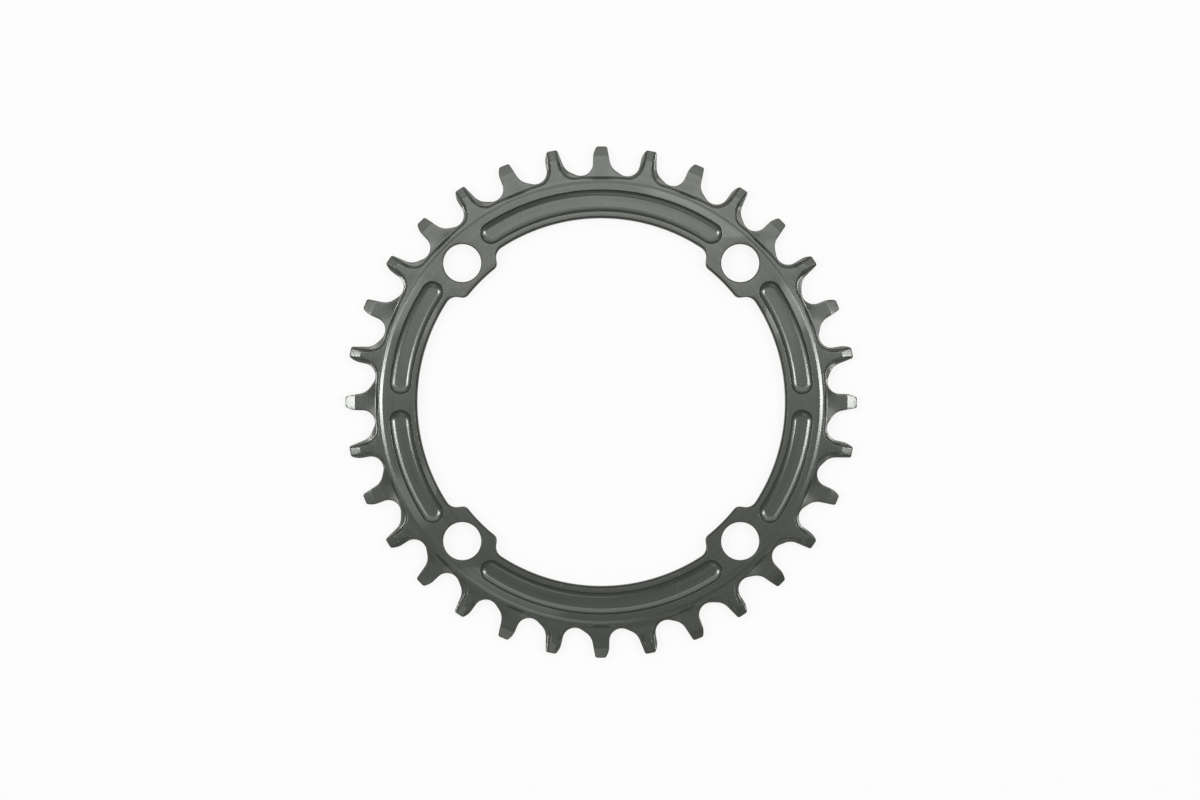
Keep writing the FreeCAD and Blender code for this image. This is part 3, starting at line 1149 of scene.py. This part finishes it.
def fine_grain() -> NodeTree:
    """The even grain of an etched and anodised surface, with a slow drift and pale scuffs.

    The scuffs are the peaks of a noise of some tenths of a millimetre, kept where a
    slower noise is high too.

    Returns:
        The group, whose Grain, Drift and Scuffs run from 0 to 1.
    """
    nodes, given = new_group("Fine grain", {"Vector": ORIGIN, "Scale": 5200.0},
                             ("Grain", "Drift", "Scuffs"))
    layers = (NoiseLayer(0.3, 0.7, detail=2.0, roughness=0.55),
              NoiseLayer(0.3, 0.7, detail=3.0, roughness=0.5, coarser=60.0),
              NoiseLayer(0.5, 0.75, detail=4.0, roughness=0.65, coarser=6.0),
              NoiseLayer(0.58, 0.7, detail=1.0, roughness=0.5, coarser=45.0))
    grain, drift, peaks, places = (nodes.noise(given["Vector"], given["Scale"], layer)
                                   for layer in layers)
    return nodes.close(Grain=grain, Drift=drift, Scuffs=nodes.math("MULTIPLY", peaks, places))


@dataclass(frozen=True)
class Wedge:
    """A part of the turned face, seen from the axis, where a highlight is painted into the colour
    and the coat is stronger.
    """

    clock: float
    half_angle: float
    strength: float
    from_radius: float = 0.052


@dataclass(frozen=True)
class PaintedTurnedSheen:
    """Where a highlight is painted on the turned front face, in wedges, and not on the milled bolt
    pads.

    A wedge is the cosine of the clock angle from its middle, taken from its soft border
    to 1, from one radius outwards. The pads are what lies within a square about the
    axis, where the larger of the two distances along X and Y is less than half its side.
    The front face is what lies above a height. Lengths are in metres, angles in degrees.
    """

    # painted highlight: the wedges' clock angles, widths and strengths
    wedges: tuple[Wedge, ...] = (
        Wedge(28.0, 13.0, 0.42), Wedge(63.5, 2.5, 1.0, 0.046), Wedge(205.0, 11.0, 0.42),
        Wedge(243.0, 4.0, 0.5, 0.046), Wedge(297.0, 4.0, 0.42, 0.046))
    soft_angle: float = 5.0
    soft_radius: float = 0.0005
    pad_edge: Pair = (0.0433, 0.0439)
    face_height: Pair = (0.0039, 0.00397)

    def group(self) -> NodeTree:
        """The node group of the painted sheen.

        Returns:
            The group, whose Sheen runs from 0 to 1.
        """
        nodes, given = new_group("Painted turned sheen", {"Vector": ORIGIN}, ("Sheen",))
        across, up, high = nodes.add("SeparateXYZ", {0: given["Vector"]}).outputs
        clock = nodes.math("ARCTAN2", across, up)
        radius = nodes.math("SQRT", nodes.math("ADD", nodes.math("MULTIPLY", across, across),
                                               nodes.math("MULTIPLY", up, up)))
        parts = []
        for wedge in self.wedges:
            off = nodes.math("COSINE", nodes.math("SUBTRACT", clock, math.radians(wedge.clock)))
            border, full = np.cos(np.radians([wedge.half_angle + self.soft_angle,
                                              wedge.half_angle])).tolist()
            parts.append(nodes.math(
                "MULTIPLY", nodes.spread(off, border, full, 0.0, wedge.strength),
                nodes.spread(radius, wedge.from_radius, wedge.from_radius + self.soft_radius)))
        reach = nodes.math("MAXIMUM", nodes.math("ABSOLUTE", across), nodes.math("ABSOLUTE", up))
        shown = nodes.math("MULTIPLY", nodes.spread(reach, *self.pad_edge),
                           nodes.spread(high, *self.face_height))
        return nodes.close(Sheen=nodes.math("MULTIPLY", nodes.chain("MAXIMUM", *parts), shown))


@dataclass(frozen=True)
class HardAnodisedSkin:
    """The ring's skin: a satin oxide layer in a dark greenish grey over the aluminium.

    Most of its gloss comes from the layer's own surface and has no colour, and a little
    comes from the metal through it. The colour drifts slightly and is finely grained,
    the turned marks change the roughness, and both give a slight relief. In some wedges
    of the front face a highlight is painted: the colour is mixed towards a pale one and
    the coat is stronger. Pale scuffs are mixed towards the same colour. The tint's weights
    are those of drift, grain and marks, and the relief's those of grain and marks.
    """

    colour: Colour = (0.027, 0.0325, 0.021)
    colour_change: float = 0.35
    tint_weights: tuple[float, float, float] = (0.2, 0.1, 0.7)
    # pale colour of the scuffs, and of the highlight painted in the sheen wedges
    scuff_and_sheen_colour: Colour = (0.100, 0.108, 0.093)
    scuff_share: float = 0.5
    metallic: float = 0.05
    gloss_tint: Colour = (0.97, 1.0, 0.955)
    index: float = 1.85
    roughness: float = 0.24
    roughness_change: float = 0.016
    coat: float = 0.2
    coat_change: float = 0.3
    coat_index: float = 1.7
    coat_roughness: float = 0.24
    relief: float = 0.0000005
    relief_weights: Pair = (0.6, 0.4)
    sheen: PaintedTurnedSheen = PaintedTurnedSheen()
    sheen_change: float = 0.5

    def make(self) -> Material:
        """The material.

        Returns:
            A Principled surface whose colour, roughness, coat and normal come from groups.
        """
        material = bpy.data.materials.new("anodised_aluminium")
        nodes = own_nodes(material)
        place = nodes.add("TexCoord").outputs["Object"]
        marks, grain, sheen = (nodes.add("Group", {"Vector": place}, node_tree=tree).outputs
                               for tree in (turning_marks(), fine_grain(), self.sheen.group()))
        rough, shine, plain = (
            nodes.spread(marks["Marks"], 0.0, 1.0, middle - change / 2, middle + change / 2)
            for middle, change in ((self.roughness, self.roughness_change),
                                   (1.0, self.sheen_change), (self.coat, self.coat_change)))
        # painted highlight: the sheen wedges mix the colour towards the pale colour, and they also
        # raise the coat
        painted_sheen = nodes.math("MULTIPLY", sheen["Sheen"], shine)
        coat = nodes.math("ADD", plain, nodes.math("MULTIPLY", painted_sheen, 1.0 - self.coat))
        by_drift, by_grain, by_marks = self.tint_weights
        tint = nodes.weighted((grain["Drift"], by_drift), (grain["Grain"], by_grain),
                              (marks["Marks"], by_marks))
        dark, light = ((*(part * (1 + change) for part in self.colour), 1.0)
                       for change in (-self.colour_change, self.colour_change))
        scuffs = nodes.math("MULTIPLY", grain["Scuffs"], self.scuff_share)
        # the pale colour comes in where the highlight is painted in the wedges and where the
        # scuffs are
        colour = nodes.mix(nodes.math("ADD", painted_sheen, scuffs), nodes.mix(tint, dark, light),
                           (*self.scuff_and_sheen_colour, 1.0))
        by_grain, by_marks = self.relief_weights
        height = nodes.weighted((grain["Grain"], by_grain), (marks["Marks"], by_marks))
        normal = nodes.add("Bump", {"Strength": 1.0, "Distance": self.relief,
                                    "Height": height}).outputs["Normal"]
        surface = nodes.add("BsdfPrincipled", {
            "Base Color": colour, "Metallic": self.metallic, "Roughness": rough,
            "IOR": self.index, "Specular Tint": (*self.gloss_tint, 1.0), "Normal": normal,
            "Coat Weight": coat, "Coat Roughness": self.coat_roughness,
            "Coat IOR": self.coat_index, "Coat Normal": normal})
        nodes.add("OutputMaterial", {"Surface": surface.outputs[0]})
        return material


@dataclass(frozen=True)
class WhiteTable:
    """A matt white table that the camera and glossy surfaces see as white.

    Part of what they see is its own even white and the rest is the table as it is lit,
    so the object's shadow stays on it. From below it is clear, so the ring's back shows.
    """

    own_white: float = 0.86
    matt_colour: tuple[float, float, float, float] = (0.9, 0.9, 0.9, 1.0)

    def make(self) -> Material:
        """The material: a matt surface mixed with plain white by the kind of ray."""
        material = bpy.data.materials.new("table_white")
        nodes = own_nodes(material)
        path = nodes.add("LightPath").outputs
        seen = nodes.chain("MAXIMUM", path["Is Camera Ray"], path["Is Glossy Ray"],
                           path["Is Transmission Ray"])
        top = nodes.add("MixShader", {
            0: nodes.math("MULTIPLY", seen, self.own_white),
            1: nodes.add("BsdfDiffuse", {"Color": self.matt_colour}).outputs[0],
            2: nodes.add("Emission", {"Color": WHITE, "Strength": 1.0}).outputs[0]})
        sides = nodes.add("MixShader", {
            0: nodes.add("NewGeometry").outputs["Backfacing"], 1: top.outputs[0],
            2: nodes.add("BsdfTransparent").outputs[0]})
        nodes.add("OutputMaterial", {"Surface": sides.outputs[0]})
        return material


# Studio


@dataclass(frozen=True)
class SoftLight:
    """A square or long soft light, aimed at the ring's axis."""

    name: str
    clock: float
    from_zenith: float
    distance: float
    wide: float
    deep: float
    power: float

    def make(self) -> Object:
        """The light, from its clock angle and its angle from straight up."""
        lamp = bpy.data.lights.new(self.name, "AREA")
        lamp.shape = "RECTANGLE"
        lamp.size, lamp.size_y = self.wide, self.deep
        lamp.energy = self.power
        light = placed(self.name, lamp)
        across, up = heading(self.clock) * math.sin(math.radians(self.from_zenith))
        high = math.cos(math.radians(self.from_zenith))
        light.location = Vector((across, up, high)) * self.distance
        light.rotation_euler = (-light.location).to_track_quat("-Z", "Y").to_euler()
        light.visible_camera = False
        return light


@dataclass(frozen=True)
class Studio:
    """The table, the soft lights and the camera, straight above as in the photograph.

    Lengths are in metres, the camera's sensor in millimetres. The light from all round
    grows from the horizon's to the sky's between two heights of the direction seen.
    """

    frame_width: float = 0.3182
    image_width: float = 1200
    image_height: float = 800
    centre_pixel: Pair = (601.2, 402.1)
    camera_height: float = 1.25
    sensor_width: float = 36.0
    farthest_seen: float = 20.0
    table_half: float = 2.5
    table_height: float = -0.0001
    sky: float = 0.34
    horizon: float = 0.13
    horizon_heights: Pair = (0.1, 0.6)
    lights: tuple[SoftLight, ...] = (
        SoftLight("light_left", 271.5, 31.0, 1.3, 0.16, 0.32, 3.9),
        SoftLight("light_right", 87.5, 31.0, 1.3, 0.16, 0.27, 3.5),
        SoftLight("light_top_near", 0.0, 11.0, 0.79, 1.0, 0.19, 1.3),
        SoftLight("light_top_far", 0.0, 34.0, 1.3, 1.7, 0.38, 2.25),
        SoftLight("light_bottom", 197.0, 31.0, 1.3, 0.6, 0.25, 0.54),
    )

    def table(self) -> Object:
        """A large flat table under the ring."""
        corners = np.array([(-1, -1), (1, -1), (1, 1), (-1, 1)]) * self.table_half
        mesh = bpy.data.meshes.new("table")
        mesh.from_pydata(lifted(corners, self.table_height), [], [(0, 1, 2, 3)])
        mesh.materials.append(WhiteTable().make())
        table = placed("table", mesh)
        return table

    def camera(self) -> Object:
        """The camera, looking straight down with the image's middle where it was."""
        data = bpy.data.cameras.new("camera")
        data.sensor_width = self.sensor_width
        data.lens = self.sensor_width * self.camera_height / self.frame_width
        data.clip_end = self.farthest_seen
        camera = placed("camera", data)
        pixel = self.frame_width / self.image_width
        camera.location = ((self.image_width / 2 - self.centre_pixel[0]) * pixel,
                           (self.centre_pixel[1] - self.image_height / 2) * pixel,
                           self.camera_height)
        bpy.context.scene.camera = camera
        return camera

    def surroundings(self) -> World:
        """The soft light from all round, which is weaker near the horizon."""
        world = bpy.data.worlds.new("studio")
        nodes = own_nodes(world)
        direction = nodes.add("SeparateXYZ", {0: nodes.add("TexCoord").outputs["Generated"]})
        strength = nodes.spread(nodes.math("ABSOLUTE", direction.outputs[2]),
                                *self.horizon_heights, self.horizon, self.sky)
        sky = nodes.add("Background", {"Color": WHITE, "Strength": strength})
        nodes.add("OutputWorld", {"Surface": sky.outputs[0]})
        return world

    def make(self) -> None:
        """Set up everything around the object."""
        scene = bpy.context.scene
        scene.view_settings.view_transform = "Standard"
        scene.world = self.surroundings()
        self.table()
        for light in self.lights:
            light.make()
        self.camera()


def main() -> None:
    """Build the ring and the studio round it."""
    for start in [o for o in bpy.data.objects if o.name in ("Cube", "Light", "Camera")]:
        bpy.data.objects.remove(start)
    sizes = RingSizes()
    surface = Surface()
    rim = ToothedRim(sizes)
    rim.add_to(surface)
    Plate(sizes).add_to(surface, rim.join_line())
    ring = surface.make("machined_ring", HardAnodisedSkin().make())
    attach(ring, "root")
    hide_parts("chainring")
    Studio().make()


if __name__ == "__main__":
    main()
